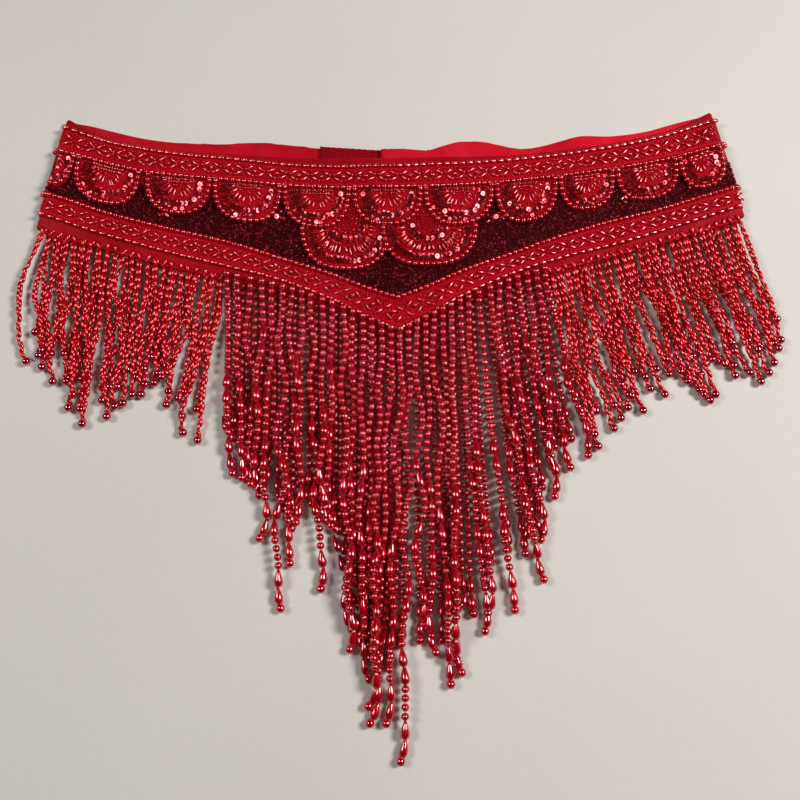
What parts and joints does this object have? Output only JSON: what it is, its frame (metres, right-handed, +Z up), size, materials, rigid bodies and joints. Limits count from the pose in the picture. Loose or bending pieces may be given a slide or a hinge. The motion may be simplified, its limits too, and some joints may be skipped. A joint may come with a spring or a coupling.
{
  "type": "belly dance hip belt laid flat",
  "caption": "Beaded satin hip belt laid flat: a V-fronted band with braids and fan appliques, hook-and-loop fastening at the back and a long pointed bead fringe.",
  "frame": {"origin": "on the surface that the belt lies on, under the middle of its outline", "axes": "+X along the belt to the right seen from above, +Y from the fringe to the top edge, +Z up out of the decorated front"},
  "size_m": [0.5207, 0.435, 0.0129],
  "materials": {
    "red_satin": "bright red satin, soft sheen, faint stitched edge line",
    "dark_red_tape": "dark red matted loops and hooks, fuzzy at the edge",
    "garnet_seed": "dark garnet seed beads sewn close, small red glints",
    "ruby_bugle": "ruby tube, oval and round beads, pearly gloss",
    "red_sequin": "cupped dark red sequins with pink glints, seed and tube beads between",
    "rice_bead": "slim ruby rice beads on twisted double threads, pearly gloss",
    "crimson_pearl": "crimson imitation pearls and drops, pearly gloss with two soft highlights"
  },
  "bodies": {
    "root": {"band": "red_satin", "closure_loop": "dark_red_tape", "closure_hook": "dark_red_tape", "beaded_ground": "garnet_seed", "braid_upper": "ruby_bugle", "braid_lower": "ruby_bugle", "fan_01": "red_sequin", "fan_02": "red_sequin", "fan_03": "red_sequin", "fan_04": "red_sequin", "fan_05": "red_sequin", "fan_06": "red_sequin", "fan_07": "red_sequin", "fan_08": "red_sequin", "fan_09": "red_sequin", "fan_10": "red_sequin", "fan_11": "red_sequin", "fan_low_left": "red_sequin", "fan_low_right": "red_sequin", "fringe_back_left": "rice_bead", "fringe_back_centre": "crimson_pearl", "fringe_back_right": "rice_bead", "fringe_front_left": "rice_bead", "fringe_front_centre": "crimson_pearl", "fringe_front_right": "rice_bead"}
  },
  "joints": []
}
